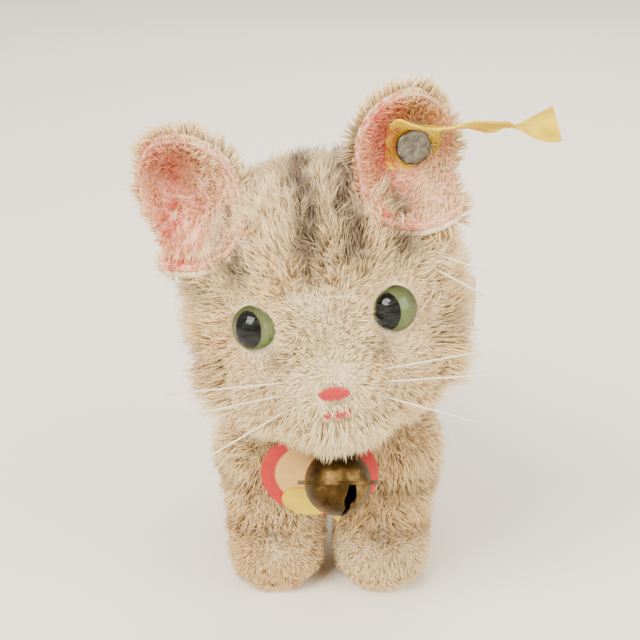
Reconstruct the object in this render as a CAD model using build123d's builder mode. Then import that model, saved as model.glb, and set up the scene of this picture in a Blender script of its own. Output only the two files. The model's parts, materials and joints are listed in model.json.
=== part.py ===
"""A small standing plush kitten, about 10 cm tall, with a turning head. Millimetres; +Z up, -Y is the front.

The origin is on the ground at the middle of the four feet. The kitten's own left is +X, and names say left and
right from the kitten's side.
"""

import os
from math import cos, radians, sin

from build123d import *

# Cloth and pile
COVER = 1.5  # mohair plush with its packed pile, on body, legs and head
THIN_COVER = 1.1  # shorter plush on the tail and ears
SOLE = 1.2  # felt under each foot

# Body: two spheres joined by a straight taper
BODY_AXIS_Z = 35.5
CHEST_Y, CHEST_R = -16.5, 16.5
RUMP_Y, RUMP_R = 16.0, 17.5
SEAM_Z = 27.0  # the gusset reaches this high between the legs

# Legs: columns that widen at the foot and at the shoulder
LEG_X = 10.1
FRONT_LEG_Y, HIND_LEG_Y = -21.5, 20.5
FOOT_R, ANKLE_R, THIGH_R = 8.2, 7.7, 9.2
ANKLE_Z, THIGH_Z, LEG_TOP_Z = 15.0, 30.0, 37.5
FOOT_ROUND, THIGH_ROUND = 2.6, 5.0
TOE_FORWARD, TOE_R, TOE_Z = 3.2, 7.4, 6.4

# Neck: the head turns about an axis that leans forward
NECK_AT = (0.0, -30.0, 47.5)
NECK_TILT = 25.0
NECK_R = 9.5
NECK_LENGTH = 5.0  # how far the shoulders stay below the head
TURN_GAP = 0.2  # between the head and the neck

# Neck joint
DISC_EDGE = 1.4  # room between the disc and the cloth round it
DISC_R, DISC_T = NECK_R - COVER - DISC_EDGE, 1.2
WASHER_R, WASHER_T = 2.6, 0.5
PIN_R, PIN_HEAD_R, PIN_HEAD_T = 0.7, 1.6, 0.7
PIN_FIT = 0.05  # running fit in the head's disc
PIN_TAIL = 3.0  # length of each bent leg of the pin

# Head
HEAD_AT = (-0.9, -33.0, 61.5)
HEAD_ROLL = 8.4  # the top leans to the kitten's right
HEAD_NOD = 5.0  # the face looks down a little
HEAD_R = 21.0
MUZZLE_AT, MUZZLE_R = (0.0, -11.8, -9.6), 12.0
CHEEK_X, CHEEK_Y, CHEEK_Z, CHEEK_R = 8.0, -8.0, -7.5, 12.0
GUSSET_HALF = 6.5  # half the width of the strip over the crown

# Eyes: a glass dome over a painted iris and pupil, on a wire shank
EYE_R, EYE_DOME = 4.0, 3.0
EYE_X, EYE_UP = 11.65, 2.2
EYE_SINK = 0.5  # how deep the back of the glass lies under the cloth
EYE_OUT, EYE_TILT = 14.0, 8.0  # degrees outwards and upwards
IRIS_T, PUPIL_T = 0.25, 0.2
PUPIL_W, PUPIL_H = 3.5, 5.4
PUPIL_SHIFT = -0.9  # both pupils look a little to the kitten's right
SHANK_R, SHANK_LENGTH = 0.4, 5.0
SOCKET_FIT = 0.1

# Nose and mouth, embroidered
NOSE_W, NOSE_H, STITCH_T = 5.2, 2.8, 0.7
MOUTH_W, MOUTH_H, MOUTH_DROP = 4.6, 1.6, 3.9

# Ears: cupped leaves of two cloths
LEFT_EAR_ANGLE, RIGHT_EAR_ANGLE = 43.0, 47.0  # from the crown to the middle of each ear's root
LEFT_EAR_LEAN, RIGHT_EAR_LEAN = 11.0, 20.0  # outwards, from the head's upright
EAR_W, EAR_H, EAR_CUP_R = 17.0, 20.0, 13.0
EAR_ROOT = 5.0  # hidden length that reaches the head
EAR_BACK_Y = 1.5  # the roots stand this far behind the middle of the head
EAR_TURN = 12.0  # each opening turns outwards by this

# Ear button and its cloth flag
BUTTON_R, BUTTON_T = 3.0, 0.8
POST_R, BUTTON_WASHER_R, BUTTON_WASHER_T = 0.5, 2.0, 0.5
BUTTON_UP, BUTTON_SIDE = 9.5, 1.5
FLAG_W, FLAG_T = 8.0, 0.35
FLAG_BACK, FLAG_ARM = 9.0, 27.0
FLAG_FALL, FLAG_PITCH = 0.26, 70.0  # the free arm falls to its end, nearly level across
BUTTON_GAP = 0.05

# Whiskers
WHISKER_R = 0.15

# Tail
TAIL_R, TAIL_BEND_R, TAIL_SWEEP = 4.0, 15.0, 80.0
TAIL_START_Y, TAIL_START_Z = 27.0, 45.0

# Wires
WIRE_R = 0.7
WIRE_BEND = 6.0
WIRE_TOP_Z, WIRE_FOOT_Z = 32.0, 5.0

# Ribbon, 10 mm wide, gathered round the neck and tied behind
RIBBON_W, RIBBON_T = 10.0, 0.4
RIBBON_ROLL_R = 0.9  # gathered to this radius round the neck
RIBBON_GAP = 1.1  # room for the bell's link behind the ribbon
RIBBON_DEPTH = 2.9  # below the head's underside
KNOT_X = 2.0
KNOT_W, KNOT_D, KNOT_H = 6.0, 4.0, 3.6
LOOP_LENGTH, LOOP_OPEN, LOOP_BACK = 27.0, 2.4, 18.0
TAIL_LENGTH, TAIL_SPREAD = 26.0, 38.0
RIBBON_LIE = 0.15  # the ends lie this far off the body

# Bell on its link
LINK_R, LINK_HALF = 0.3, 1.9
LINK_X = 1.4
LINK_REACH = 7.7  # from the back bend of the link to its front bend
BELL_R, BELL_WALL = 5.8, 0.45
BELL_RIM_R, BELL_RIM_T = 7.0, 0.35
BELL_LEAN = 25.5  # the bell's mouth points forwards by this
STAPLE_R, STAPLE_WIRE_R = 1.2, 0.3
SLOT_W, SLOT_END_R, SLOT_ANGLE, SLOT_TURN = 0.9, 1.1, 57.0, 25.0
PELLET_R, PELLET_GAP = 1.7, 0.1
LINK_PLAY = 0.1

# Chest tag
TAG_R, TAG_T, TAG_HOLE_R = 10.5, 0.4, 0.9
TAG_HOLE_UP = 9.2
TAG_LEAN, TAG_SWING = 20.0, 20.0
TAG_ALONG = 3.4  # how far the tag hangs along the link from the ribbon
FISH_BODY_W, FISH_BODY_H, FISH_TAIL, FISH_DROP = 9.0, 6.4, 3.4, 7.2

NEAR, FAR = 0.01, 60.0

os.makedirs("parts", exist_ok=True)


def save(builder, name):
    """Labels a finished piece and writes it."""
    builder.part.label = name
    export_step(builder.part, f"parts/{name}.step")


def forward(tilt):
    """The direction that leans forward from +Z by an angle in degrees."""
    return (0, -sin(radians(tilt)), cos(radians(tilt)))


NECK = Plane(origin=NECK_AT, x_dir=(1, 0, 0), z_dir=forward(NECK_TILT))
HEAD = Plane(
    origin=HEAD_AT,
    x_dir=(cos(radians(HEAD_ROLL)), 0, sin(radians(HEAD_ROLL))),
    z_dir=(
        -sin(radians(HEAD_ROLL)) * cos(radians(HEAD_NOD)),
        -sin(radians(HEAD_NOD)),
        cos(radians(HEAD_ROLL)) * cos(radians(HEAD_NOD)),
    ),
)
LEGS = {
    "front_left": (LEG_X, FRONT_LEG_Y),
    "front_right": (-LEG_X, FRONT_LEG_Y),
    "hind_left": (LEG_X, HIND_LEG_Y),
    "hind_right": (-LEG_X, HIND_LEG_Y),
}
SIDES = {"left": 1, "right": -1}


# ---------------------------------------------------------------- forms, with every wall moved in by an inset
def torso_form(inset):
    """The barrel of the body with the sloping shoulders and the neck."""
    with BuildPart() as form:
        with BuildSketch(Plane.YZ):
            with Locations((CHEST_Y, BODY_AXIS_Z)):
                Circle(CHEST_R - inset)
            with Locations((RUMP_Y, BODY_AXIS_Z)):
                Circle(RUMP_R - inset)
            make_hull()
            with Locations((0, BODY_AXIS_Z)):
                Rectangle(FAR * 2, FAR, align=(Align.CENTER, Align.MAX), mode=Mode.SUBTRACT)
        revolve(axis=Axis((0, 0, BODY_AXIS_Z), (0, 1, 0)))
        split(bisect_by=NECK.offset(-NECK_LENGTH - inset), keep=Keep.BOTTOM)
        with BuildSketch(NECK.offset(-TURN_GAP - inset)):
            Circle(NECK_R - inset)
        extrude(amount=-CHEST_R)
    return form.part


def leg_form(x, y, inset):
    """One leg with its toes."""
    with BuildPart() as form:
        with BuildSketch(Plane.XZ.offset(-y)) as outline:
            with BuildLine():
                Polyline(
                    (x, SOLE + inset),
                    (x + FOOT_R - inset, SOLE + inset),
                    (x + ANKLE_R - inset, ANKLE_Z),
                    (x + THIGH_R - inset, THIGH_Z),
                    (x, LEG_TOP_Z - inset),
                    close=True,
                )
            make_face()
            corners = outline.vertices().filter_by(lambda v: v.X > x + NEAR)
            fillet(corners.sort_by(Axis.Y)[0], FOOT_ROUND - inset)
            corners = outline.vertices().filter_by(lambda v: v.X > x + NEAR)
            fillet(corners.sort_by(Axis.Y)[-1], THIGH_ROUND - inset)
        revolve(axis=Axis((x, y, 0), (0, 0, 1)))
        with Locations((x, y - TOE_FORWARD, TOE_Z)):
            Sphere(TOE_R - inset)
        split(bisect_by=Plane.XY.offset(SOLE + inset), keep=Keep.TOP)
    return form.part


def body_form(inset):
    """The body with its four legs."""
    with BuildPart() as form:
        add(torso_form(inset))
        for x, y in LEGS.values():
            add(leg_form(x, y, inset))
    return form.part


def tail_form(inset):
    """A tail that leaves the rump level and bends up, with a round tip."""
    bend = Axis((0, TAIL_START_Y, TAIL_START_Z + TAIL_BEND_R), (1, 0, 0))
    tip_angle = radians(TAIL_SWEEP)
    with BuildPart() as form:
        with BuildSketch(Plane.XZ.offset(-TAIL_START_Y)):
            with Locations((0, TAIL_START_Z)):
                Circle(TAIL_R - inset)
        revolve(axis=bend, revolution_arc=TAIL_SWEEP)
        with Locations(
            (
                0,
                TAIL_START_Y + TAIL_BEND_R * sin(tip_angle),
                TAIL_START_Z + TAIL_BEND_R * (1 - cos(tip_angle)),
            )
        ):
            Sphere(TAIL_R - inset)
    return form.part


def head_form(inset):
    """The skull, cheeks and muzzle, cut flat where the head sits on the neck."""
    with BuildPart(HEAD) as form:
        Sphere(HEAD_R - inset)
        with Locations(MUZZLE_AT):
            Sphere(MUZZLE_R - inset)
        for side in SIDES.values():
            with Locations((side * CHEEK_X, CHEEK_Y, CHEEK_Z)):
                Sphere(CHEEK_R - inset)
        split(bisect_by=NECK.offset(inset), keep=Keep.TOP)
    return form.part


# ---------------------------------------------------------------- neck joint
def neck_disc(z, hole_r):
    """A card disc across the neck axis, from z upwards."""
    with BuildPart() as disc:
        with BuildSketch(NECK.offset(z)):
            Circle(DISC_R)
            Circle(hole_r, mode=Mode.SUBTRACT)
        extrude(amount=DISC_T)
    return disc


def washer(z, hole_r):
    """A steel washer across the neck axis, from z upwards."""
    with BuildPart() as ring:
        with BuildSketch(NECK.offset(z)):
            Circle(WASHER_R)
            Circle(hole_r, mode=Mode.SUBTRACT)
        extrude(amount=WASHER_T)
    return ring


head_disc_z = COVER
head_washer_z = head_disc_z + DISC_T
pin_top_z = head_washer_z + WASHER_T
body_disc_z = -TURN_GAP - COVER - DISC_T
body_washer_z = body_disc_z - WASHER_T

neck_disc_head = neck_disc(head_disc_z, PIN_R + PIN_FIT)
neck_washer_head = washer(head_washer_z, PIN_R + PIN_FIT)
neck_disc_body = neck_disc(body_disc_z, PIN_R)
neck_washer_body = washer(body_washer_z, PIN_R)

with BuildPart() as cotter_pin:
    with BuildSketch(NECK.offset(body_washer_z)):
        Circle(PIN_R)
    extrude(amount=pin_top_z + PIN_FIT - body_washer_z)
    with BuildSketch(NECK.offset(pin_top_z + PIN_FIT)):
        Circle(PIN_HEAD_R)
    extrude(amount=PIN_HEAD_T)
    with BuildSketch(NECK.offset(body_washer_z)):
        SlotOverall(2 * PIN_TAIL, 2 * PIN_R)
    extrude(amount=-PIN_HEAD_T)

with BuildPart() as head_joint_room:
    with BuildSketch(NECK):
        Circle(PIN_R + PIN_FIT)
    extrude(amount=head_washer_z)
    with BuildSketch(NECK.offset(head_disc_z)):
        Circle(DISC_R)
    extrude(amount=DISC_T)
    with BuildSketch(NECK.offset(head_washer_z)):
        Circle(WASHER_R)
    extrude(amount=WASHER_T + PIN_FIT + PIN_HEAD_T + PIN_FIT)


# ---------------------------------------------------------------- wires
def leg_wire(y):
    """One wire that runs down both legs of a pair and across the body."""
    with BuildPart() as wire:
        with BuildLine() as path:
            FilletPolyline(
                (-LEG_X, y, WIRE_FOOT_Z),
                (-LEG_X, y, WIRE_TOP_Z),
                (LEG_X, y, WIRE_TOP_Z),
                (LEG_X, y, WIRE_FOOT_Z),
                radius=WIRE_BEND,
            )
        with BuildSketch(Plane(origin=path.line @ 0, z_dir=path.line % 0)):
            Circle(WIRE_R)
        sweep()
    return wire


front_leg_wire = leg_wire(FRONT_LEG_Y)
hind_leg_wire = leg_wire(HIND_LEG_Y)

with BuildPart() as tail_wire:
    with BuildSketch(Plane.XZ.offset(-TAIL_START_Y)):
        with Locations((0, TAIL_START_Z)):
            Circle(WIRE_R)
    revolve(
        axis=Axis((0, TAIL_START_Y, TAIL_START_Z + TAIL_BEND_R), (1, 0, 0)),
        revolution_arc=TAIL_SWEEP,
    )
    with BuildSketch(Plane.XZ.offset(-TAIL_START_Y)):
        with Locations((0, TAIL_START_Z)):
            Circle(WIRE_R)
    extrude(amount=RUMP_Y)


# ---------------------------------------------------------------- body
body_outside = body_form(0)
body_inside = body_form(COVER)

with BuildPart() as body_cover:
    add(body_outside)
    add(body_inside, mode=Mode.SUBTRACT)
    add(cotter_pin.part, mode=Mode.SUBTRACT)
    add(tail_wire.part, mode=Mode.SUBTRACT)
    with BuildSketch(NECK):
        Circle(PIN_R)
    extrude(amount=-CHEST_R, mode=Mode.SUBTRACT)

with BuildPart() as gusset_region:
    with Locations((0, 0, SEAM_Z)):
        Box(2 * LEG_X, 2 * FAR, FAR, align=(Align.CENTER, Align.CENTER, Align.MAX))

with BuildPart() as belly_gusset:
    add(body_cover.part)
    add(gusset_region.part, mode=Mode.INTERSECT)
save(belly_gusset, "belly_gusset")

for side_name, side in SIDES.items():
    with BuildPart() as body_side:
        add(body_cover.part)
        add(gusset_region.part, mode=Mode.SUBTRACT)
        split(bisect_by=Plane.YZ, keep=Keep.TOP if side > 0 else Keep.BOTTOM)
    save(body_side, f"body_{side_name}_side")

for leg_name, (x, y) in LEGS.items():
    with BuildPart() as sole:
        with BuildSketch():
            with Locations((x, y - TOE_FORWARD / 2)):
                SlotCenterToCenter(TOE_FORWARD, 2 * (FOOT_R - FOOT_ROUND), rotation=90)
        extrude(amount=SOLE)
    save(sole, f"{leg_name}_sole")

    with BuildPart() as leg_stuffing:
        add(leg_form(x, y, COVER))
        add(torso_form(COVER), mode=Mode.SUBTRACT)
        add(front_leg_wire.part, mode=Mode.SUBTRACT)
        add(hind_leg_wire.part, mode=Mode.SUBTRACT)
    save(leg_stuffing, f"{leg_name}_leg_stuffing")

with BuildPart() as torso_stuffing:
    add(torso_form(COVER))
    for piece in (neck_disc_body, neck_washer_body, cotter_pin, front_leg_wire, hind_leg_wire, tail_wire):
        add(piece.part, mode=Mode.SUBTRACT)
save(torso_stuffing, "torso_stuffing")

with BuildPart() as tail_cover:
    add(tail_form(0))
    add(tail_form(THIN_COVER), mode=Mode.SUBTRACT)
    add(body_outside, mode=Mode.SUBTRACT)
save(tail_cover, "tail_cover")

with BuildPart() as tail_stuffing:
    add(tail_form(THIN_COVER))
    add(body_outside, mode=Mode.SUBTRACT)
    add(tail_wire.part, mode=Mode.SUBTRACT)
save(tail_stuffing, "tail_stuffing")

save(front_leg_wire, "front_leg_wire")
save(hind_leg_wire, "hind_leg_wire")
save(tail_wire, "tail_wire")
save(neck_disc_body, "neck_disc_body")
save(neck_washer_body, "neck_washer_body")
save(neck_disc_head, "neck_disc_head")
save(neck_washer_head, "neck_washer_head")
save(cotter_pin, "cotter_pin")


# ---------------------------------------------------------------- eyes
def eye_plane(side):
    """The flat back of an eye's glass, facing outwards."""
    yaw = radians(EYE_OUT) * side
    tilt = radians(EYE_TILT)
    facing = Vector(sin(yaw) * cos(tilt), -cos(yaw) * cos(tilt), sin(tilt))
    deep = (HEAD_R**2 - EYE_X**2 - EYE_UP**2) ** 0.5
    at = Vector(side * EYE_X, -deep, EYE_UP) - facing * EYE_SINK
    upright = Vector(0, 0, 1)
    local = Plane(origin=at, x_dir=upright.cross(facing), z_dir=facing)
    return Plane(HEAD.location * local.location)


with BuildPart() as eye_rooms:
    for side in SIDES.values():
        with BuildSketch(eye_plane(side).offset(-PUPIL_T - IRIS_T)):
            Circle(EYE_R + SOCKET_FIT)
        extrude(amount=HEAD_R)
        with BuildSketch(eye_plane(side)):
            Circle(SHANK_R)
        extrude(amount=-SHANK_LENGTH - PUPIL_T - IRIS_T)

eye_ball_r = (EYE_R**2 + EYE_DOME**2) / (2 * EYE_DOME)
for side_name, side in SIDES.items():
    face = eye_plane(side)
    with BuildPart(face) as eye_glass:
        with Locations((0, 0, EYE_DOME - eye_ball_r)):
            Sphere(eye_ball_r)
        split(bisect_by=face, keep=Keep.TOP)
    save(eye_glass, f"{side_name}_eye_glass")

    with BuildPart() as eye_pupil:
        with BuildSketch(face):
            with Locations((PUPIL_SHIFT, 0)):
                Ellipse(PUPIL_W / 2, PUPIL_H / 2)
        extrude(amount=-PUPIL_T)
    save(eye_pupil, f"{side_name}_eye_pupil")

    with BuildPart() as eye_iris:
        with BuildSketch(face.offset(-PUPIL_T)):
            Circle(EYE_R)
        extrude(amount=-IRIS_T)
    save(eye_iris, f"{side_name}_eye_iris")

    with BuildPart() as eye_shank:
        with BuildSketch(face.offset(-PUPIL_T - IRIS_T)):
            Circle(SHANK_R)
        extrude(amount=-SHANK_LENGTH)
    save(eye_shank, f"{side_name}_eye_shank")


# ---------------------------------------------------------------- nose and mouth
def stitching(up, width, height):
    """A raised oval of satin stitch on the front of the muzzle, at a height above the muzzle's middle."""
    x, y, z = MUZZLE_AT
    deep = (MUZZLE_R**2 - up**2) ** 0.5
    local = Plane(
        origin=(x, y - deep, z + up),
        x_dir=(1, 0, 0),
        z_dir=(0, -deep / MUZZLE_R, up / MUZZLE_R),
    )
    with BuildPart() as pad:
        with BuildSketch(Plane(HEAD.location * local.location).offset(-STITCH_T)):
            Ellipse(width / 2, height / 2)
        extrude(amount=2 * STITCH_T)
    return pad


nose_up = 1.6
nose_stitching = stitching(nose_up, NOSE_W, NOSE_H)
mouth_stitching = stitching(nose_up - MOUTH_DROP, MOUTH_W, MOUTH_H)
save(nose_stitching, "nose_stitching")
save(mouth_stitching, "mouth_stitching")


# ---------------------------------------------------------------- head
head_outside = head_form(0)
head_inside = head_form(COVER)

with BuildPart() as head_cover:
    add(head_outside)
    add(head_inside, mode=Mode.SUBTRACT)
    for piece in (head_joint_room, eye_rooms, nose_stitching, mouth_stitching):
        add(piece.part, mode=Mode.SUBTRACT)

with BuildPart() as head_gusset_region:
    with Locations(HEAD.location):
        Box(2 * GUSSET_HALF, 2 * FAR, 2 * FAR)

with BuildPart() as head_gusset:
    add(head_cover.part)
    add(head_gusset_region.part, mode=Mode.INTERSECT)
save(head_gusset, "head_gusset")

for side_name, side in SIDES.items():
    with BuildPart() as head_side:
        add(head_cover.part)
        split(
            bisect_by=Plane(origin=HEAD.origin + HEAD.x_dir * side * GUSSET_HALF, z_dir=HEAD.x_dir),
            keep=Keep.TOP if side > 0 else Keep.BOTTOM,
        )
    save(head_side, f"head_{side_name}_side")

with BuildPart() as head_stuffing:
    add(head_inside)
    for piece in (head_joint_room, eye_rooms, nose_stitching, mouth_stitching):
        add(piece.part, mode=Mode.SUBTRACT)
save(head_stuffing, "head_stuffing")


# ---------------------------------------------------------------- ears
def ear_plane(side):
    """Upright plane of an ear: x across it, y up it, z out of its opening, origin at its root on the head."""
    angle = radians(LEFT_EAR_ANGLE if side > 0 else -RIGHT_EAR_ANGLE)
    lean = radians(LEFT_EAR_LEAN if side > 0 else -RIGHT_EAR_LEAN)
    turn = radians(EAR_TURN) * side
    up = Vector(sin(lean), 0, cos(lean))
    opening = Vector(sin(turn) * cos(lean), -cos(turn), -sin(turn) * sin(lean))
    local = Plane(
        origin=(HEAD_R * sin(angle), EAR_BACK_Y, HEAD_R * cos(angle)),
        x_dir=up.cross(opening),
        z_dir=opening,
    )
    return Plane(HEAD.location * local.location)


def ear_leaf(side, outer, inner):
    """One cloth of an ear: a round-tipped leaf cut from a ball's wall between two radii."""
    plane = ear_plane(side)
    with BuildPart() as leaf:
        with Locations(plane.location * Location((0, EAR_H / 2, EAR_CUP_R), (90, 0, 0))):
            Sphere(outer)
            Sphere(inner, mode=Mode.SUBTRACT)
        with BuildSketch(plane.offset(EAR_CUP_R)):
            with BuildLine():
                Polyline((-EAR_W / 2, EAR_H * 0.45), (-EAR_W * 0.45, -EAR_ROOT), (EAR_W * 0.45, -EAR_ROOT),
                         (EAR_W / 2, EAR_H * 0.45))
                ThreePointArc((EAR_W / 2, EAR_H * 0.45), (EAR_W * 0.36, EAR_H * 0.8), (0, EAR_H))
                ThreePointArc((0, EAR_H), (-EAR_W * 0.36, EAR_H * 0.8), (-EAR_W / 2, EAR_H * 0.45))
            make_face()
        extrude(amount=-2 * EAR_CUP_R, mode=Mode.INTERSECT)
        add(head_outside, mode=Mode.SUBTRACT)
    return leaf


button_plane = ear_plane(SIDES["left"])
button_line = Plane(
    origin=button_plane.from_local_coords((BUTTON_SIDE, BUTTON_UP, 0)),
    x_dir=button_plane.x_dir,
    z_dir=button_plane.z_dir,
)
lining_r = EAR_CUP_R - 2 * THIN_COVER
flag_r = lining_r - BUTTON_GAP - FLAG_T
button_off = (BUTTON_SIDE**2 + (BUTTON_UP - EAR_H / 2) ** 2) ** 0.5
crown_z = EAR_CUP_R - (flag_r**2 - (button_off + BUTTON_R) ** 2) ** 0.5 + BUTTON_GAP
flag_edge = (BUTTON_SIDE - FLAG_BACK / 2, BUTTON_UP + FLAG_W / 2)
flag_edge_z = EAR_CUP_R - (flag_r**2 - flag_edge[0] ** 2 - (flag_edge[1] - EAR_H / 2) ** 2) ** 0.5

with BuildPart() as ear_button:
    with BuildSketch(button_line.offset(crown_z)):
        Circle(BUTTON_R)
    extrude(amount=BUTTON_T)
    fillet(ear_button.faces().sort_by(Axis(button_line.origin, button_line.z_dir))[-1].edges(), BUTTON_T / 2)
    with BuildSketch(button_line.offset(crown_z)):
        Circle(POST_R)
    extrude(amount=-BUTTON_GAP - BUTTON_WASHER_T - crown_z)

with BuildPart() as ear_button_washer:
    with BuildSketch(button_line.offset(-BUTTON_GAP - BUTTON_WASHER_T)):
        Circle(BUTTON_WASHER_R)
        Circle(POST_R, mode=Mode.SUBTRACT)
    extrude(amount=BUTTON_WASHER_T)

with BuildPart() as ear_flag:
    with Locations(button_plane.location * Location((0, EAR_H / 2, EAR_CUP_R), (90, 0, 0))):
        Sphere(flag_r + FLAG_T)
        Sphere(flag_r, mode=Mode.SUBTRACT)
    with BuildSketch(button_line):
        Rectangle(FLAG_BACK, FLAG_W)
        Circle(POST_R, mode=Mode.SUBTRACT)
    extrude(amount=EAR_CUP_R, mode=Mode.INTERSECT)
    with BuildSketch(
        Plane(
            origin=button_plane.from_local_coords((*flag_edge, flag_edge_z + 2 * FLAG_T)),
            x_dir=(1, 0, -FLAG_FALL),
            z_dir=(0, -cos(radians(FLAG_PITCH)), -sin(radians(FLAG_PITCH))),
        )
    ):
        Rectangle(FLAG_ARM, FLAG_W, align=(Align.MIN, Align.MIN))
    extrude(amount=FLAG_T)

for side_name, side in SIDES.items():
    ear_back = ear_leaf(side, EAR_CUP_R, EAR_CUP_R - THIN_COVER)
    ear_lining = ear_leaf(side, EAR_CUP_R - THIN_COVER, EAR_CUP_R - 2 * THIN_COVER)
    for ear_cloth, name in ((ear_back, "back"), (ear_lining, "lining")):
        with BuildPart() as pierced:
            add(ear_cloth.part)
            if side_name == "left":
                with BuildSketch(button_line.offset(crown_z)):
                    Circle(POST_R)
                extrude(amount=-EAR_CUP_R, mode=Mode.SUBTRACT)
        save(pierced, f"{side_name}_ear_{name}")

save(ear_button, "ear_button")
save(ear_button_washer, "ear_button_washer")
save(ear_flag, "ear_flag")


# ---------------------------------------------------------------- whiskers
def hairs(lines):
    """Straight bristles, each from a root in the head to its tip, in the head's own axes."""
    with BuildPart() as bristles:
        for root, tip in lines:
            start = HEAD.from_local_coords(Vector(root))
            along = HEAD.from_local_coords(Vector(tip)) - start
            with BuildSketch(Plane(origin=start, z_dir=along)):
                Circle(WHISKER_R)
            extrude(amount=along.length)
        add(head_outside, mode=Mode.SUBTRACT)
    return bristles


for side_name, side in SIDES.items():
    whisker_lines = [
        ((side * 6, -20, -7), (side * 27, -26, -3)),
        ((side * 6, -20, -9), (side * 26, -27, -7)),
        ((side * 6, -20, -11), (side * 22, -27, -15)),
    ]
    save(hairs(whisker_lines), f"{side_name}_whiskers")

save(
    hairs([((18, -8, 8), (28, -14, 5)), ((18, -9, 6), (27, -15, 1)), ((17, -10, 7), (26, -15, 2))]),
    "left_brow_hairs",
)


# ---------------------------------------------------------------- ribbon
ribbon_r = NECK_R + RIBBON_GAP + RIBBON_ROLL_R  # to the middle of the gathered ribbon
ribbon_plane = NECK.offset(-RIBBON_DEPTH)
knot_plane = Plane(
    origin=ribbon_plane.from_local_coords((KNOT_X, ribbon_r + KNOT_D / 2, 0)),
    x_dir=(1, 0, 0),
    z_dir=ribbon_plane.z_dir,
)

with BuildPart() as ribbon_tails:
    add(torso_form(-RIBBON_LIE - RIBBON_T))
    add(torso_form(-RIBBON_LIE), mode=Mode.SUBTRACT)
    with BuildSketch(Plane.XY.offset(BODY_AXIS_Z)):
        for side in SIDES.values():
            with Locations(Location((KNOT_X, knot_plane.origin.Y, 0), (0, 0, 90 - side * TAIL_SPREAD))):
                Rectangle(TAIL_LENGTH, RIBBON_W, align=(Align.MIN, Align.CENTER))
    extrude(amount=FAR, mode=Mode.INTERSECT)

with BuildPart() as neck_ribbon:
    with BuildSketch(Plane(origin=ribbon_plane.origin, x_dir=ribbon_plane.y_dir, z_dir=(1, 0, 0))):
        with Locations((ribbon_r, 0)):
            Circle(RIBBON_ROLL_R)
    revolve(axis=Axis(ribbon_plane.origin, ribbon_plane.z_dir))
    with Locations(knot_plane.location):
        Box(KNOT_W, KNOT_D, KNOT_H)
    for side in SIDES.values():
        loop = Plane(
            origin=knot_plane.origin,
            x_dir=(side * cos(radians(LOOP_BACK)), sin(radians(LOOP_BACK)), 0),
            z_dir=(side * sin(radians(LOOP_BACK)), -cos(radians(LOOP_BACK)), 0),
        )
        rise = side  # the plane's own y points down on the kitten's right
        near, mid = LOOP_LENGTH * 0.26, LOOP_LENGTH * 0.48
        upper = [(0, KNOT_H / 2), (near, KNOT_H * 0.8), (mid, RIBBON_W * 0.44), (LOOP_LENGTH, RIBBON_W / 2)]
        lower = [(LOOP_LENGTH, -RIBBON_W / 2), (mid, -RIBBON_W * 0.04), (near, 0), (0, -KNOT_H / 2)]
        with BuildSketch(loop):
            with BuildLine():
                Polyline(*[(s, rise * h) for s, h in upper + lower], close=True)
            make_face()
        extrude(amount=LOOP_OPEN / 2, both=True)
    add(ribbon_tails.part)
save(neck_ribbon, "neck_ribbon")


# ---------------------------------------------------------------- bell
bell_down = Vector(0, -sin(radians(BELL_LEAN)), -cos(radians(BELL_LEAN)))
link_back = NECK_R + RIBBON_GAP / 2
link_plane = Plane(
    origin=ribbon_plane.from_local_coords((LINK_X, -(link_back + LINK_REACH / 2), 0)),
    x_dir=-ribbon_plane.y_dir,
    z_dir=(-1, 0, 0),
)
front_bend = ribbon_plane.from_local_coords((LINK_X, -(link_back + LINK_REACH - LINK_HALF), 0))
link_contact = front_bend + bell_down * LINK_HALF
hang = BELL_R + LINK_R + LINK_PLAY
bell_at = link_contact + bell_down * hang
BELL = Plane(origin=bell_at, x_dir=(1, 0, 0), z_dir=-bell_down)

with BuildPart() as bell_link:
    with BuildLine() as link_path:
        half = LINK_REACH / 2 - LINK_HALF
        corners = [link_plane.from_local_coords((sx * half, sy * LINK_HALF, 0))
                   for sx, sy in ((-1, 1), (1, 1), (1, -1), (-1, -1))]
        ends = [link_plane.from_local_coords((sx * LINK_REACH / 2, 0, 0)) for sx in (1, -1)]
        Line(corners[0], corners[1])
        ThreePointArc(corners[1], ends[0], corners[2])
        Line(corners[2], corners[3])
        ThreePointArc(corners[3], ends[1], corners[0])
    with BuildSketch(Plane(origin=corners[0], z_dir=corners[1] - corners[0])):
        Circle(LINK_R)
    sweep()
save(bell_link, "bell_link")


with BuildPart(BELL) as bell_shell:
    Sphere(BELL_R)
    Cylinder(BELL_RIM_R, 2 * BELL_RIM_T)
    Sphere(BELL_R - BELL_WALL, mode=Mode.SUBTRACT)

with BuildPart() as bell_upper_half:
    add(bell_shell.part)
    split(bisect_by=BELL, keep=Keep.TOP)

with BuildPart() as bell_lower_half:
    add(bell_shell.part)
    split(bisect_by=BELL, keep=Keep.BOTTOM)
    slot = Plane(
        origin=bell_at,
        x_dir=BELL.x_dir.rotate(Axis((0, 0, 0), tuple(BELL.z_dir)), SLOT_TURN - 90),
        z_dir=-BELL.z_dir,
    )
    slot_reach = BELL_R * sin(radians(SLOT_ANGLE))
    with BuildSketch(slot):
        Rectangle(2 * slot_reach, SLOT_W)
        with Locations((slot_reach, 0), (-slot_reach, 0)):
            Circle(SLOT_END_R)
    extrude(amount=BELL_R, mode=Mode.SUBTRACT)

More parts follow.
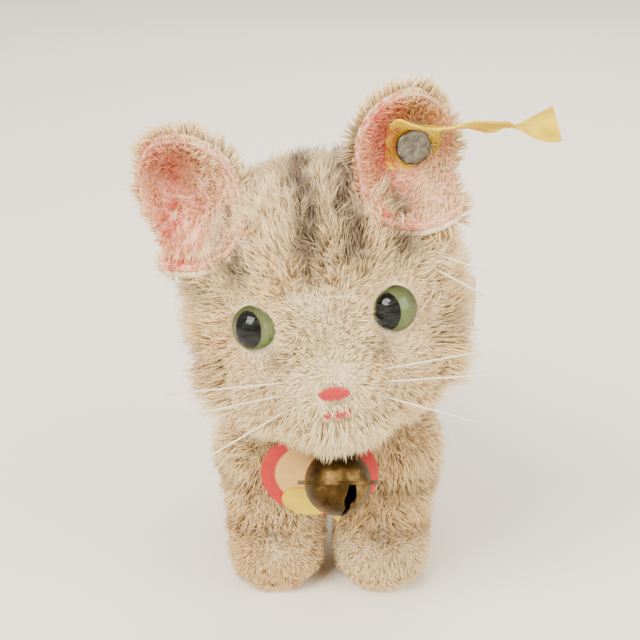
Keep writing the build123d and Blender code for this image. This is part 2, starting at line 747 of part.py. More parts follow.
with BuildPart() as bell_staple:
    with BuildSketch(Plane(origin=bell_at, x_dir=(1, 0, 0), z_dir=-BELL.y_dir)):
        staple_top = hang + LINK_R + LINK_PLAY + STAPLE_WIRE_R
        with Locations((0, staple_top - STAPLE_R)):
            Circle(STAPLE_R + STAPLE_WIRE_R)
            Circle(STAPLE_R - STAPLE_WIRE_R, mode=Mode.SUBTRACT)
    extrude(amount=STAPLE_WIRE_R, both=True)
    with Locations(BELL.location):
        Sphere(BELL_R, mode=Mode.SUBTRACT)

with BuildPart() as bell_pellet:
    with Locations(bell_at + bell_down * (BELL_R - BELL_WALL - PELLET_R - PELLET_GAP)):
        Sphere(PELLET_R)

save(bell_upper_half, "bell_upper_half")
save(bell_lower_half, "bell_lower_half")
save(bell_staple, "bell_staple")
save(bell_pellet, "bell_pellet")


# ---------------------------------------------------------------- chest tag
tag_hole_at = ribbon_plane.from_local_coords((LINK_X, -(ribbon_r + TAG_ALONG), -LINK_HALF))
tag_normal = Vector(0, -cos(radians(TAG_LEAN)), -sin(radians(TAG_LEAN)))
tag_across = Vector(1, 0, 0).rotate(Axis((0, 0, 0), tuple(tag_normal)), -TAG_SWING)
TAG = Plane(origin=tag_hole_at, x_dir=tag_across, z_dir=tag_normal)

with BuildPart() as tag_card:
    with BuildSketch(TAG.offset(-TAG_T / 2)):
        with Locations((0, -TAG_HOLE_UP)):
            Circle(TAG_R)
        Circle(TAG_HOLE_R, mode=Mode.SUBTRACT)
    extrude(amount=TAG_T)
save(tag_card, "tag_card")

with BuildPart() as tag_fish:
    with BuildSketch(TAG.offset(TAG_T / 2)):
        with Locations((0, -TAG_HOLE_UP - FISH_DROP)):
            Ellipse(FISH_BODY_W / 2, FISH_BODY_H / 2)
            with Locations((FISH_BODY_W / 2 + FISH_TAIL / 3, 0)):
                RegularPolygon(FISH_TAIL, 3, rotation=180)
    extrude(amount=TAG_T)
save(tag_fish, "tag_fish")

print("bell", bell_at, "link contact", link_contact, "tag hole", tag_hole_at)
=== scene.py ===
"""A small standing plush kitten: mohair pile over stuffed cloth, glass eyes, a bell and a round tag."""
import json
import math

import bmesh
import bpy
import numpy as np
from mathutils import Matrix, Vector
from mathutils.bvhtree import BVHTree
from mathutils.kdtree import KDTree


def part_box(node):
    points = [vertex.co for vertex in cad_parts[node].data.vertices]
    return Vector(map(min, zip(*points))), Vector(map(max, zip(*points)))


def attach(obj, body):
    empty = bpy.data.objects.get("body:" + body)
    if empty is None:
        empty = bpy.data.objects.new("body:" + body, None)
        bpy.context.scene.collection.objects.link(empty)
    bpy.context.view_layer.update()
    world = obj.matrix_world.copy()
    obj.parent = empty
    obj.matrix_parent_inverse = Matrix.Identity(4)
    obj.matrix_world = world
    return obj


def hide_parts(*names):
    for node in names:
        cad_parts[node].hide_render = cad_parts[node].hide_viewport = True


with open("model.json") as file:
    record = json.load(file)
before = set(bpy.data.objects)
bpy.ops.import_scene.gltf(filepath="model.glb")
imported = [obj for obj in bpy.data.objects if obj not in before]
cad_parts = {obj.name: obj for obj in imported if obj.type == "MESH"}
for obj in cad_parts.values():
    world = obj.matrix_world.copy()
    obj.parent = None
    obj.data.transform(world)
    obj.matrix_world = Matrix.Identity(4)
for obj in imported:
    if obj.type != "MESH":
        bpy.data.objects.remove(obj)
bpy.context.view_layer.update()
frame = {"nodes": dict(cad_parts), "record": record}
MM = 0.001

# ---- places shared with the model, in millimetres ----
HEAD_AT = np.array([-0.9, -33.0, 61.5])
ROLL, NOD = math.radians(8.4), math.radians(5.0)
HEAD_SIDE = np.array([math.cos(ROLL), 0.0, math.sin(ROLL)])
HEAD_UP = np.array([-math.sin(ROLL) * math.cos(NOD), -math.sin(NOD), math.cos(ROLL) * math.cos(NOD)])
HEAD_TURN = np.stack([HEAD_SIDE, np.cross(HEAD_UP, HEAD_SIDE), HEAD_UP], axis=1)  # columns: side, back, up
EYES = np.array([[11.65, -17.3, 2.2], [-11.65, -17.3, 2.2]])
NECK_AT = np.array([0.0, -30.0, 47.5])
NECK_UP = np.array([0.0, -0.4226, 0.9063])
TAG_AT = np.array([1.4, -41.475, 36.853])


def in_head(points):
    """Points in millimetres, measured from the middle of the head along its own axes."""
    return (points - HEAD_AT) @ HEAD_TURN


def from_head(points):
    return np.asarray(points) @ HEAD_TURN.T + HEAD_AT


# ---- colours and materials ----
def linear(hex_text, alpha=1.0):
    """An sRGB hex value as the linear colour that a shader takes."""
    out = []
    for i in (0, 2, 4):
        c = int(hex_text[i : i + 2], 16) / 255
        out.append(c / 12.92 if c <= 0.04045 else ((c + 0.055) / 1.055) ** 2.4)
    return (*out, alpha)


def add_node(mat, kind, settings=None, links=None):
    """Adds a node; settings are its properties or input values, links are input name: output socket."""
    n = mat.node_tree.nodes.new(kind)
    for key, value in (settings or {}).items():
        if isinstance(key, str) and hasattr(n, key) and key not in n.inputs:
            setattr(n, key, value)
        else:
            n.inputs[key].default_value = value
    for key, socket in (links or {}).items():
        mat.node_tree.links.new(socket, n.inputs[key])
    return n


def new_material(name, **shader):
    mat = bpy.data.materials.new(name)
    mat.use_nodes = True
    bsdf = mat.node_tree.nodes["Principled BSDF"]
    for key, value in shader.items():
        bsdf.inputs[key.replace("_", " ")].default_value = value
    return mat, bsdf


def ramp(mat, fac, stops):
    n = add_node(mat, "ShaderNodeValToRGB", links={"Fac": fac})
    els = n.color_ramp.elements
    while len(els) < len(stops):
        els.new(0.5)
    for e, (at, colour) in zip(els, stops):
        e.position, e.color = at, colour
    return n.outputs["Color"]


def bump(mat, bsdf, height, strength, distance):
    b = add_node(mat, "ShaderNodeBump", {"Strength": strength, "Distance": distance}, {"Height": height})
    mat.node_tree.links.new(b.outputs["Normal"], bsdf.inputs["Normal"])


def cloth_material(name, colours, threads_per_mm=2.2, roughness=0.9, sheen=0.3):
    """Woven cloth: crossing threads in the bump and slow fading in the colour."""
    mat, bsdf = new_material(name, Roughness=roughness)
    bsdf.inputs["Sheen Weight"].default_value = sheen
    at = add_node(mat, "ShaderNodeTexCoord").outputs["Object"]
    fade = add_node(mat, "ShaderNodeTexNoise", {"Scale": 220.0, "Detail": 4.0}, {"Vector": at})
    colour = ramp(mat, fade.outputs["Fac"], [(0.35, linear(colours[0])), (0.65, linear(colours[1]))])
    mat.node_tree.links.new(colour, bsdf.inputs["Base Color"])
    waves = []
    for direction in ("X", "Z"):
        w = add_node(
            mat,
            "ShaderNodeTexWave",
            {"wave_type": "BANDS", "bands_direction": direction,
             "Scale": threads_per_mm * 1000 / 20 * math.pi, "Distortion": 0.6},
            {"Vector": at},
        )
        waves.append(w.outputs["Fac"])
    both = add_node(mat, "ShaderNodeMath", {"operation": "MAXIMUM"}, {0: waves[0], 1: waves[1]})
    bump(mat, bsdf, both.outputs[0], 0.5, 0.0002)
    return mat


def mohair_material():
    """Mohair: each hair is a smooth, faintly shining fibre whose colour comes from the dye along the pile, with
    painted shade darkening each hair towards its root and painted light brightening its tip.
    """
    mat, bsdf = new_material("mohair_pile", Roughness=0.62)
    bsdf.inputs["Sheen Weight"].default_value = 0.12
    bsdf.inputs["Sheen Roughness"].default_value = 0.4
    hair = add_node(mat, "ShaderNodeAttribute", {"attribute_name": "pile_colour"})
    mat.node_tree.links.new(hair.outputs["Color"], bsdf.inputs["Base Color"])
    at = add_node(mat, "ShaderNodeTexCoord").outputs["Object"]
    fine = add_node(mat, "ShaderNodeTexNoise", {"Scale": 2600.0, "Detail": 2.0}, {"Vector": at})
    bump(mat, bsdf, fine.outputs["Fac"], 0.2, 0.00005)
    return mat


def metal_material(name, colours, roughness, scale, pits):
    """Old metal: bright where it is rubbed, dull and dark where it has tarnished."""
    mat, bsdf = new_material(name, Metallic=1.0)
    at = add_node(mat, "ShaderNodeTexCoord").outputs["Object"]
    settings = {"Scale": scale, "Detail": 6.0, "Roughness": 0.65}
    tone = add_node(mat, "ShaderNodeTexNoise", settings, {"Vector": at})
    colour = ramp(mat, tone.outputs["Fac"], [(0.3, linear(colours[0])), (0.52, linear(colours[1])),
                                            (0.75, linear(colours[2]))])
    mat.node_tree.links.new(colour, bsdf.inputs["Base Color"])
    dull = add_node(mat, "ShaderNodeMapRange", {"To Min": roughness[0], "To Max": roughness[1]},
                    {"Value": tone.outputs["Fac"]})
    mat.node_tree.links.new(dull.outputs[0], bsdf.inputs["Roughness"])
    bump(mat, bsdf, tone.outputs["Fac"], pits, 0.0002)
    return mat


def distance_from(mat, centre_mm, scale_mm=1.0):
    """How far a point is from centre_mm, in units of scale_mm."""
    at = add_node(mat, "ShaderNodeTexCoord").outputs["Object"]
    centre = Vector(centre_mm) * MM
    away = add_node(mat, "ShaderNodeVectorMath", {"operation": "DISTANCE", 1: centre}, {0: at})
    share = add_node(mat, "ShaderNodeMath", {"operation": "DIVIDE", 1: scale_mm * MM}, {0: away.outputs["Value"]})
    return share.outputs[0]


def iris_material(name, centre_mm):
    """Paint behind glass: olive with a paler ring round the pupil and a dark rim."""
    mat, bsdf = new_material(name, Roughness=0.35)
    r = distance_from(mat, centre_mm, 4.0)
    colour = ramp(mat, r, [(0.0, linear("7C8A3A")), (0.5, linear("76863A")), (0.78, linear("56682A")),
                           (1.0, linear("26300F"))])
    mat.node_tree.links.new(colour, bsdf.inputs["Base Color"])
    return mat


def tag_material():
    """Printed card: a red ring round a cream field, rubbed at the rim."""
    mat, bsdf = new_material("printed_card", Roughness=0.55)
    lean, swing = math.radians(20), math.radians(20)
    down = np.array([-math.sin(swing), math.cos(swing) * math.sin(lean), -math.cos(swing) * math.cos(lean)])
    middle = TAG_AT + 9.2 * down
    r = distance_from(mat, middle, 10.5)
    colour = ramp(mat, r, [(0.0, linear("E0B060")), (0.74, linear("E0B060")), (0.775, linear("C00C00")),
                           (1.0, linear("C81404"))])
    at = add_node(mat, "ShaderNodeTexCoord").outputs["Object"]
    wear = add_node(mat, "ShaderNodeTexNoise", {"Scale": 700.0, "Detail": 6.0}, {"Vector": at})
    mix = add_node(mat, "ShaderNodeMix", {"data_type": "RGBA", "blend_type": "MULTIPLY"})
    mix.inputs[0].default_value = 0.35
    mat.node_tree.links.new(colour, mix.inputs[6])
    mat.node_tree.links.new(wear.outputs["Color"], mix.inputs[7])
    mat.node_tree.links.new(mix.outputs[2], bsdf.inputs["Base Color"])
    bump(mat, bsdf, wear.outputs["Fac"], 0.15, 0.0001)
    return mat


mohair = mohair_material()
backing = cloth_material("woven_cotton_backing", ("CDB68E", "E3D2AB"))
lining_cloth = cloth_material("faded_salmon_cloth", ("D08A6A", "E8B08C"))
felt = cloth_material("pressed_wool_felt", ("C9AE84", "DCC49C"), 3.0)
ribbon_cloth = cloth_material("silk_ribbon", ("D9B37C", "F0D2A4"), 2.6, 0.55, 0.5)
flag_cloth = cloth_material("yellow_cotton_tape", ("BE9A00", "E6C400"), 2.0, 0.9, 0.0)
red_thread = cloth_material("red_cotton_thread", ("A80008", "D0140E"), 3.0, 0.6, 0.3)
brass = metal_material("patinated_brass", ("2A1D0C", "4E3A1C", "8A7040"), (0.28, 0.6), 260.0, 0.35)
steel = metal_material("drawn_steel_wire", ("55524C", "7D7A73", "A7A49C"), (0.3, 0.5), 900.0, 0.1)
tarnished = metal_material("tarnished_nickel", ("4A4640", "6F6A60", "A09A8C"), (0.25, 0.55), 900.0, 0.3)
card = tag_material()
yellow_card = cloth_material("printed_yellow_card", ("B09400", "D4B400"), 1.2, 0.5, 0.0)
pressed_card = cloth_material("pressed_fibre_board", ("8A6E4C", "A58860"), 1.0)
wood_wool = cloth_material("wood_wool", ("B79A66", "CDB37E"), 0.8)
glass, glass_bsdf = new_material("clear_eye_glass", Roughness=0.03, IOR=1.3)
glass_bsdf.inputs["Transmission Weight"].default_value = 1.0
pupil_black, _ = new_material("black_eye_enamel", Roughness=0.6)
pupil_black.node_tree.nodes["Principled BSDF"].inputs["Specular IOR Level"].default_value = 0.1
pupil_black.node_tree.nodes["Principled BSDF"].inputs["Base Color"].default_value = linear("0A0908")
bristle, _ = new_material("clear_bristle", Roughness=0.35)
bristle.node_tree.nodes["Principled BSDF"].inputs["Base Color"].default_value = linear("EFE6D2")
bristle.node_tree.nodes["Principled BSDF"].inputs["Transmission Weight"].default_value = 0.3

SLOT_MATERIALS = {
    "wood_wool": wood_wool, "sole_felt": felt, "steel_wire": steel, "card_disc": pressed_card,
    "eye_glass": glass, "eye_pupil": pupil_black, "red_thread": red_thread, "whisker": bristle,
    "button_metal": tarnished, "flag_cloth": flag_cloth, "ribbon": ribbon_cloth, "bell_brass": brass,
    "pellet_steel": steel, "tag_card": card, "tag_fish": yellow_card, "ear_lining": lining_cloth,
    "mohair_plush": backing,
}
for part in frame["record"]["subparts"]:
    node = frame["nodes"][part["node"]]
    finish = SLOT_MATERIALS.get(part["material_slot"])
    if part["material_slot"] == "eye_iris":
        side = 0 if part["node"].startswith("left") else 1
        finish = iris_material("iris_paint_" + part["node"][:5].strip("_"), from_head(EYES[side]))
    node.data.materials.clear()
    node.data.materials.append(finish)


# ---- stuffed skins ----
def stuffed_skin(name, nodes, body, voxel, relax, material):
    """One soft skin over several cut panels and their filling, with the joins drawn smooth."""
    bpy.ops.object.select_all(action="DESELECT")
    mesh = bpy.data.meshes.new(name)
    bm = bmesh.new()
    for n in nodes:
        bm.from_mesh(frame["nodes"][n].data)
    bmesh.ops.remove_doubles(bm, verts=bm.verts, dist=0.00001)
    bm.to_mesh(mesh)
    bm.free()
    obj = bpy.data.objects.new(name, mesh)
    bpy.context.scene.collection.objects.link(obj)
    bpy.context.view_layer.objects.active = obj
    obj.select_set(True)
    remesh = obj.modifiers.new("even", "REMESH")
    remesh.mode, remesh.voxel_size = "VOXEL", voxel
    bpy.ops.object.modifier_apply(modifier=remesh.name)
    smooth = obj.modifiers.new("relax", "SMOOTH")
    smooth.factor, smooth.iterations = 0.5, relax
    bpy.ops.object.modifier_apply(modifier=smooth.name)
    obj.data.materials.clear()
    obj.data.materials.append(material)
    for p in obj.data.polygons:
        p.use_smooth = True
    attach(obj, body)
    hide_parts(*nodes)
    return obj


LEGS = [f"{a}_{b}_leg_stuffing" for a in ("front", "hind") for b in ("left", "right")]
BODY_PANELS = ["body_left_side", "body_right_side", "belly_gusset", "torso_stuffing"]
body_skin = stuffed_skin("body_and_legs", [*BODY_PANELS, *LEGS], "torso", 0.0009, 6, backing)
head_skin = stuffed_skin("head_cloth", ["head_left_side", "head_right_side", "head_gusset", "head_stuffing"],
                         "head", 0.0008, 4, backing)
tail_skin = stuffed_skin("tail_cloth", ["tail_cover", "tail_stuffing"], "torso",
                         0.0007, 3, backing)
ear_skins = {}
for side in ("left", "right"):
    ear_skins[side, "back"] = stuffed_skin(f"{side}_ear_back_cloth", [f"{side}_ear_back"], "head",
                                           0.00035, 2, backing)
    ear_skins[side, "lining"] = stuffed_skin(f"{side}_ear_lining_cloth", [f"{side}_ear_lining"], "head",
                                             0.00035, 2, lining_cloth)


# ---- embroidery: satin stitch, each thread laid beside the last ----
def satin_stitches(name, node, threads, radius, seed):
    """Upright threads across the node's shape, each following its front face; a worn thread stops short."""
    rng = np.random.default_rng(seed)
    low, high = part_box(node)
    shape = bmesh.new()
    shape.from_mesh(frame["nodes"][node].data)
    tree = BVHTree.FromBMesh(shape)
    bm = bmesh.new()
    for k in range(threads):
        x = low.x + (high.x - low.x) * (k + 0.5) / threads
        hits = []
        for z in np.linspace(high.z, low.z, 15):
            hit = tree.ray_cast(Vector((x, low.y - 0.004, z)), Vector((0, 1, 0)))[0]
            if hit:
                hits.append(hit)
        if len(hits) < 3:
            continue
        hits = hits[rng.integers(0, 2) : len(hits) - rng.integers(0, 2)]
        rings = []
        for j, hit in enumerate(hits):
            swell = radius * math.sin(math.pi * (j + 0.6) / (len(hits) + 0.2)) ** 0.4
            centre = hit + Vector((rng.normal() * 0.03 * MM, -0.02 * MM, 0))
            corners = [Vector((math.cos(a) * swell, -math.sin(a) * swell, 0))
                       for a in np.linspace(0, 2 * math.pi, 7)[:6]]
            rings.append([bm.verts.new(centre + corner) for corner in corners])
        for a, b in zip(rings, rings[1:]):
            for i in range(6):
                bm.faces.new((a[i], a[(i + 1) % 6], b[(i + 1) % 6], b[i]))
        bm.faces.new(rings[0])
        bm.faces.new(reversed(rings[-1]))
    bmesh.ops.recalc_face_normals(bm, faces=bm.faces)
    mesh = bpy.data.meshes.new(name)
    bm.to_mesh(mesh)
    bm.free()
    shape.free()
    obj = bpy.data.objects.new(name, mesh)
    bpy.context.scene.collection.objects.link(obj)
    obj.data.materials.append(red_thread)
    for p in obj.data.polygons:
        p.use_smooth = True
    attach(obj, "head")
    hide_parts(node)
    return obj


satin_stitches("nose_satin_stitches", "nose_stitching", 15, 0.24 * MM, 51)
satin_stitches("mouth_satin_stitches", "mouth_stitching", 12, 0.22 * MM, 52)


# ---- cloth flag in the ear: the free end turns over as old tape does ----
def merged_copy(name, node):
    mesh = bpy.data.meshes.new(name)
    bm = bmesh.new()
    bm.from_mesh(frame["nodes"][node].data)
    bmesh.ops.remove_doubles(bm, verts=bm.verts, dist=0.00001)
    obj = bpy.data.objects.new(name, mesh)
    bpy.context.scene.collection.objects.link(obj)
    return obj, bm


flag, bm = merged_copy("ear_flag_tape", "ear_flag")
end = max(v.co.x for v in bm.verts)
arm_start = end - 26.0 * MM
cuts = np.linspace(arm_start, end - 0.3 * MM, 44)
for x in cuts:
    bmesh.ops.bisect_plane(bm, geom=[*bm.verts, *bm.edges, *bm.faces], dist=1e-7, plane_co=(x, 0, 0),
                           plane_no=(1, 0, 0))
ends = [v.co for v in bm.verts if v.co.x > end - 0.1 * MM]
starts = [v.co for v in bm.verts if abs(v.co.x - cuts[0]) < 0.02 * MM]
arm_from = sum(starts, Vector()) / len(starts)
arm_to = sum(ends, Vector()) / len(ends)
for v in bm.verts:
    share = (v.co.x - arm_start) / (end - arm_start)
    if share <= 0:
        continue
    middle = arm_from.lerp(arm_to, share)
    late = min(max((share - 0.55) / 0.45, 0.0), 1.0)
    turn = math.radians(48) * late * late * (3 - 2 * late) + math.radians(7) * math.sin(share * 7)
    off = v.co - middle
    off = Matrix.Rotation(turn, 3, "X") @ off
    v.co = middle + off
    v.co.z -= 4.0 * MM * math.sin(abs(turn))
    v.co.z += 0.35 * MM * math.sin(share * 9.0) * share
    fray = 0.12 * MM * math.sin(v.co.x / MM * 7.3) * (1 if off.y > 0 else -1)
    v.co.y += fray
bm.to_mesh(flag.data)
bm.free()
flag.data.materials.append(flag_cloth)
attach(flag, "head")
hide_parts("ear_flag")

# ---- neck ribbon: gathered into a soft roll round the neck, with a bow behind ----
ribbon, bm = merged_copy("neck_ribbon_cloth", "neck_ribbon")
bm.to_mesh(ribbon.data)
bm.free()
bpy.ops.object.select_all(action="DESELECT")
bpy.context.view_layer.objects.active = ribbon
ribbon.select_set(True)
even = ribbon.modifiers.new("even", "REMESH")
even.mode, even.voxel_size = "VOXEL", 0.00024
bpy.ops.object.modifier_apply(modifier=even.name)
bm = bmesh.new()
bm.from_mesh(ribbon.data)
bm.normal_update()
for v in bm.verts:
    p = v.co / MM
    ruck = math.sin(p.x * 1.7 + math.sin(p.z * 1.1) * 1.5) * 0.10 + math.sin(p.y * 2.1 + p.z * 0.9) * 0.07
    v.co += Vector((0.35, 1.0, 0.35)) * ruck * 0.9 * MM
bmesh.ops.smooth_vert(bm, verts=bm.verts, factor=0.5, use_axis_x=True, use_axis_y=True, use_axis_z=True)
bm.to_mesh(ribbon.data)
bm.free()
for p in ribbon.data.polygons:
    p.use_smooth = True
ribbon.data.materials.append(ribbon_cloth)
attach(ribbon, "torso")
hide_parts("neck_ribbon")

# ---- pile: hairs as fine closed spikes, rooted in the cloth ----
def soft_noise(points, scale, seed):
    """Slow noise from -1 to 1: a few crossed sines, enough for mottling and cow-licks."""
    rng = np.random.default_rng(seed)
    total = np.zeros(len(points))
    for _ in range(6):
        k = rng.normal(size=3) / scale
        total += np.sin(points @ k + rng.uniform(0, 6.28))
    return total / 3.2


def sample_surface(obj, count, rng):
    """Points spread evenly over a skin, in millimetres, with the way each one faces."""
    m = obj.data
    m.calc_loop_triangles()
    co = np.empty(len(m.vertices) * 3)
    m.vertices.foreach_get("co", co)
    co = co.reshape(-1, 3) / MM
    tri = np.empty(len(m.loop_triangles) * 3, dtype=np.int64)
    m.loop_triangles.foreach_get("vertices", tri)
    tri = tri.reshape(-1, 3)
    a, b, c = co[tri[:, 0]], co[tri[:, 1]], co[tri[:, 2]]
    cross = np.cross(b - a, c - a)
    area = np.linalg.norm(cross, axis=1)
    pick = rng.choice(len(tri), count, p=area / area.sum())
    u, v = rng.random(count), rng.random(count)
    flip = u + v > 1
    u[flip], v[flip] = 1 - u[flip], 1 - v[flip]
    points = a[pick] + (b - a)[pick] * u[:, None] + (c - a)[pick] * v[:, None]
    return points, cross[pick] / area[pick][:, None]


def grow_pile(name, skin, body, count, seed, length, colour, comb, keep, width=0.13, lift=0.6,
              clump=0.5, clump_size=14):
    """Hairs over a skin. length, colour, comb and keep are functions of the roots and the way they face."""
    rng = np.random.default_rng(seed)
    root, out = sample_surface(skin, count, rng)
    live = keep(root, out)
    root, out = root[live], out[live]
    n = len(root)
    long = length(root, out) * rng.uniform(0.65, 1.15, n)
    flow = comb(root, out)
    flow = flow - out * np.sum(flow * out, axis=1)[:, None]
    flow /= np.linalg.norm(flow, axis=1)[:, None] + 1e-9
    curl = np.stack([soft_noise(root, 2.6, seed + k) for k in (1, 2, 3)], axis=1) * 0.45
    way = out * lift + flow * (1 - lift) + curl + rng.normal(scale=0.13, size=(n, 3))
    inward = np.sum(way * out, axis=1)
    way += out * np.clip(0.25 - inward, 0, None)[:, None]
    way /= np.linalg.norm(way, axis=1)[:, None]
    tip = root + way * long[:, None]
    tip[:, 2] -= 0.12 * long
    tree = KDTree(max(n // clump_size, 1))
    centres = rng.choice(n, max(n // clump_size, 1), replace=False)
    for i, c in enumerate(centres):
        tree.insert(Vector(root[c]), i)
    tree.balance()
    near = np.array([centres[tree.find(Vector(p))[1]] for p in root])
    tip += (tip[near] - tip) * (clump * rng.uniform(0.3, 1.0, n))[:, None]
    bend = root + (tip - root) * 0.5 + out * (0.16 * long)[:, None] + rng.normal(scale=0.1, size=(n, 3))
    side = np.cross(way, rng.normal(size=(n, 3)))
    side /= np.linalg.norm(side, axis=1)[:, None]
    other = np.cross(way, side)
    base = root - out * 0.25
    rings = []
    for centre, radius in ((base, width), (bend, width * 0.8)):
        for k in range(3):
            angle = k * 2 * math.pi / 3
            rings.append(centre + (side * math.cos(angle) + other * math.sin(angle)) * radius)
    verts = np.stack([*rings, tip], axis=1).reshape(-1, 3) * MM
    spike = [(0, 2, 1)]
    for k in range(3):
        j = (k + 1) % 3
        spike += [(k, j, 3 + j), (k, 3 + j, 3 + k), (3 + k, 3 + j, 6)]
    spike = np.array(spike)
    faces = (spike[None] + (np.arange(n) * 7)[:, None, None]).reshape(-1, 3)
    mesh = bpy.data.meshes.new(name)
    mesh.vertices.add(len(verts))
    mesh.vertices.foreach_set("co", verts.ravel())
    mesh.loops.add(faces.size)
    mesh.loops.foreach_set("vertex_index", faces.ravel().astype(np.int32))
    mesh.polygons.add(len(faces))
    mesh.polygons.foreach_set("loop_start", np.arange(0, faces.size, 3, dtype=np.int32))
    shade = colour(root, out) * rng.uniform(0.88, 1.1, n)[:, None]
    # painted shade and light along each hair: the root ring is darkened where the hairs shade one another, and
    # the tip is lightened
    painted_root_shade = np.array([0.86] * 3 + [1.0] * 3 + [1.08])
    rgba = np.ones((n, 7, 4))
    rgba[:, :, :3] = np.clip(shade[:, None, :] * painted_root_shade[None, :, None], 0, 1)
    layer = mesh.attributes.new("pile_colour", "FLOAT_COLOR", "POINT")
    layer.data.foreach_set("color", rgba.astype(np.float32).ravel())
    cells = math.ceil(math.sqrt(n))
    spot = np.array([[0.15, 0.1], [0.5, 0.1], [0.85, 0.1], [0.2, 0.55], [0.5, 0.55], [0.8, 0.55], [0.5, 0.9]])
    uv = (spot[None] + np.stack([np.arange(n) % cells, np.arange(n) // cells], axis=1)[:, None]) / cells
    corner_uv = uv.reshape(-1, 2)[faces.ravel()].astype(np.float32)
    mesh.uv_layers.new(name="OFBake").data.foreach_set("uv", corner_uv.ravel())
    mesh.update()
    mesh.validate()
    obj = bpy.data.objects.new(name, mesh)
    bpy.context.scene.collection.objects.link(obj)
    obj.data.materials.append(mohair)
    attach(obj, body)
    return obj


def tint(*hex_texts):
    return [np.array(linear(h)[:3]) for h in hex_texts]


CREAM, PALE, BRIDGE, DARK = tint("EFCB8E", "F8DDA6", "FFE8B4", "553B2A")
BROWN, FADED, LEG = tint("74502F", "A98352", "E4BC7C")
SALMON, DEEP, RIM = tint("EFA070", "D9492E", "F2D49C")


def blend_in(base, colour, amount):
    return base + (colour - base) * np.clip(amount, 0, 1)[:, None]


def bump_at(value, centre, width):
    return np.exp(-(((value - centre) / width) ** 2))


def head_colour(p, out):
    h = in_head(p)
    c = np.repeat(CREAM[None], len(p), axis=0)
    c = blend_in(c, PALE, 0.5 + 0.5 * soft_noise(p, 5, 21))
    wander = soft_noise(p, 6, 22) * 1.1
    crown = np.clip((h[:, 2] - 7 + wander) / 3, 0, 1)
    for x in (-12.0, -0.8, 5.4, 13.0):
        c = blend_in(c, DARK, 0.92 * bump_at(h[:, 0] + 0.6 * wander, x, 1.9) * crown)
    for x, z, amount in ((-18.5, 6.0, 0.7), (-13.5, 8.5, 0.4), (-7.6, -2.8, 0.75), (8.0, -2.6, 0.75),
                         (18.5, -4.0, 0.5), (-19.0, -5.0, 0.5)):
        c = blend_in(c, BROWN, amount * bump_at(h[:, 0], x, 1.9) * bump_at(h[:, 2], z, 1.8) * (h[:, 1] < 0))
    bridge = bump_at(h[:, 0], 0, 5.0) * (h[:, 2] < 8) * (h[:, 1] < -10)
    c = blend_in(c, BRIDGE, bridge)
    return c


def head_length(p, out):
    h = in_head(p)
    long = np.full(len(p), 5.0)
    face = (h[:, 1] < -9) & (h[:, 2] < 9)
    long -= 3.0 * bump_at(h[:, 0], 0, 6.0) * face
    long += 1.8 * np.clip((np.abs(h[:, 0]) - 13) / 5, 0, 1) * (h[:, 1] < 8)
    long += 1.0 * np.clip((h[:, 2] - 12) / 5, 0, 1)
    muzzle = (h[:, 2] < -3) & (h[:, 1] < -15)
    long[muzzle] = 2.2
    long[(h[:, 2] < -14)] = 4.0
    for e in EYES:
        near = np.linalg.norm(h - e, axis=1)
        long = np.minimum(long, np.clip((near - 3.4) * 0.85, 1.1, 9))
    return long


def head_comb(p, out):
    h = in_head(p)
    flow = h - np.array([0.0, -24.0, -3.0])
    flow = flow @ HEAD_TURN.T
    flow[:, 2] += 1.0
    return flow


def head_keep(p, out):
    h = in_head(p)
    clear = np.ones(len(p), bool)
    for e in EYES:
        clear &= np.linalg.norm(h - e, axis=1) > 4.3
    nose = (np.abs(h[:, 0]) < 2.8) & (np.abs(h[:, 2] + 8.0) < 1.6) & (h[:, 1] < -20)
    mouth = (np.abs(h[:, 0]) < 2.3) & (np.abs(h[:, 2] + 11.9) < 0.9) & (h[:, 1] < -20)
    under = ((p - NECK_AT) @ NECK_UP < 2.0) & (np.linalg.norm((p - NECK_AT)[:, :2], axis=1) < 9)
    return clear & ~nose & ~mouth & ~under


def body_colour(p, out):
    c = np.repeat(CREAM[None], len(p), axis=0)
    c = blend_in(c, LEG, np.clip((26 - p[:, 2]) / 10, 0, 1))
    c = blend_in(c, PALE, 0.4 + 0.4 * soft_noise(p, 6, 31))
    wander = soft_noise(p, 7, 32) * 1.4
    high = np.clip((p[:, 2] - 28) / 8, 0, 1)
    for y in (-20.0, -8.0, 4.0, 16.0, 28.0):
        c = blend_in(c, DARK, 0.68 * bump_at(p[:, 1] + wander, y, 2.4) * high)
    for z in (12.0, 22.5):
        c = blend_in(c, FADED, 0.7 * bump_at(p[:, 2] + wander * 0.6, z, 2.0) * (np.abs(p[:, 0]) > 8))
    return blend_in(c, FADED, 0.45 * high)


def body_length(p, out):
    low = np.clip((p[:, 2] - 4) / 22, 0, 1)
    return 1.9 + 2.3 * low


def body_comb(p, out):
    return np.stack([np.zeros(len(p)), 0.5 * np.ones(len(p)), -np.ones(len(p))], axis=1)


def body_keep(p, out):
    from_neck = p - NECK_AT
    rise = from_neck @ NECK_UP
    stub = np.linalg.norm(from_neck - rise[:, None] * NECK_UP, axis=1)
    return ~((stub < 11.8) & (rise > -4.6)) & ~((p[:, 2] < 1.8) & (out[:, 2] < -0.5))


def tail_colour(p, out):
    c = np.repeat(CREAM[None], len(p), axis=0)
    return blend_in(c, DARK, 0.55 * np.clip(np.sin(p[:, 2] * 1.0 + p[:, 1] * 0.5) * 1.4, 0, 1))


def always(p, out):
    return np.ones(len(p), bool)


HAIRS_A_PIECE = 18500
for i in range(3):
    grow_pile(f"head_pile_{i + 1}", head_skin, "head", HAIRS_A_PIECE, 100 + i, head_length,
              head_colour, head_comb, head_keep, width=0.09, clump=0.72, lift=0.5)
for i in range(4):
    grow_pile(f"body_pile_{i + 1}", body_skin, "torso", HAIRS_A_PIECE, 200 + i, body_length,
              body_colour, body_comb, body_keep, width=0.12, clump=0.6)
grow_pile("tail_pile", tail_skin, "torso", 5000, 300, lambda p, o: np.full(len(p), 2.6),
          tail_colour, lambda p, o: np.tile([0.0, 0.3, 1.0], (len(p), 1)), always)


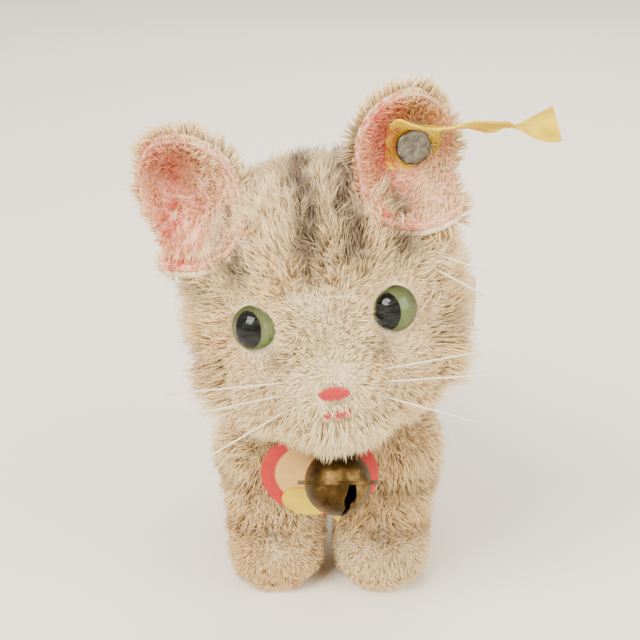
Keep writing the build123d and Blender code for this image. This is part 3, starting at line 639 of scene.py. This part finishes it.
def ear_back_colour(p, out):
    h = in_head(p)
    c = np.repeat(CREAM[None], len(p), axis=0)
    c = blend_in(c, PALE, 0.5 + 0.5 * soft_noise(p, 4, 41))
    inner = np.clip((11 - np.abs(h[:, 0])) / 4, 0, 1)
    return blend_in(c, DARK, 0.75 * inner)


def ear_lining_colour(p, out):
    """Salmon, deeper on the side towards the kitten's right and worn to cream round the other edge."""
    across = in_head(p)[:, 0]
    across = across - across.mean()
    c = np.repeat(SALMON[None], len(p), axis=0)
    c = blend_in(c, DEEP, 0.9 * bump_at(across + 1.2 * soft_noise(p, 3, 42), -4.0, 2.2))
    return blend_in(c, RIM, np.clip((across + 0.5) / 3.5, 0, 0.9) + 0.3 * soft_noise(p, 2.5, 43))


def upward(p, out):
    return np.tile([0.0, 0.2, 1.0], (len(p), 1))


for k, side in enumerate(("left", "right")):
    grow_pile(f"{side}_ear_back_pile", ear_skins[side, "back"], "head", 6500, 400 + k,
              lambda p, o: np.full(len(p), 3.4), ear_back_colour, upward, lambda p, o: o[:, 1] > -0.35)
    grow_pile(f"{side}_ear_lining_pile", ear_skins[side, "lining"], "head", 5000, 420 + k,
              lambda p, o: np.full(len(p), 1.7), ear_lining_colour, upward,
              lambda p, o: o[:, 1] < 0.2, width=0.1, lift=0.4)

# ---- floor, light and camera ----
bpy.ops.object.select_all(action="DESELECT")
bpy.ops.mesh.primitive_plane_add(size=4.0, location=(0, 0, 0))
floor = bpy.context.object
floor.name = "floor"
floor_paint, _ = new_material("matt_floor_paint", Roughness=0.8)
floor_paint.node_tree.nodes["Principled BSDF"].inputs["Base Color"].default_value = linear("F0E6D4")
floor.data.materials.append(floor_paint)

world = bpy.data.worlds.new("studio")
bpy.context.scene.world = world
world.use_nodes = True
world.node_tree.nodes["Background"].inputs["Color"].default_value = linear("F4F1E8")
world.node_tree.nodes["Background"].inputs["Strength"].default_value = 1.15

for name, at, size, power in (("key", (-0.35, -0.45, 0.55), 0.4, 12.0), ("fill", (0.5, -0.3, 0.35), 0.5, 5.0),
                              ("rim", (0.1, 0.5, 0.5), 0.4, 4.0)):
    data = bpy.data.lights.new(name, "AREA")
    data.size, data.energy = size, power
    lamp = bpy.data.objects.new(name, data)
    bpy.context.scene.collection.objects.link(lamp)
    lamp.location = at
    lamp.rotation_euler = (Vector((0, -0.01, 0.05)) - Vector(at)).to_track_quat("-Z", "Y").to_euler()

cam_data = bpy.data.cameras.new("camera")
cam_data.sensor_width = 36.0
cam_data.lens = 1573 / 640 * 36.0
cam_data.clip_start = 0.01
camera = bpy.data.objects.new("camera", cam_data)
bpy.context.scene.collection.objects.link(camera)
camera.location = (-0.0017, -0.2924, 0.1502)
camera.rotation_euler = (math.radians(70), 0, 0)
bpy.context.scene.camera = camera
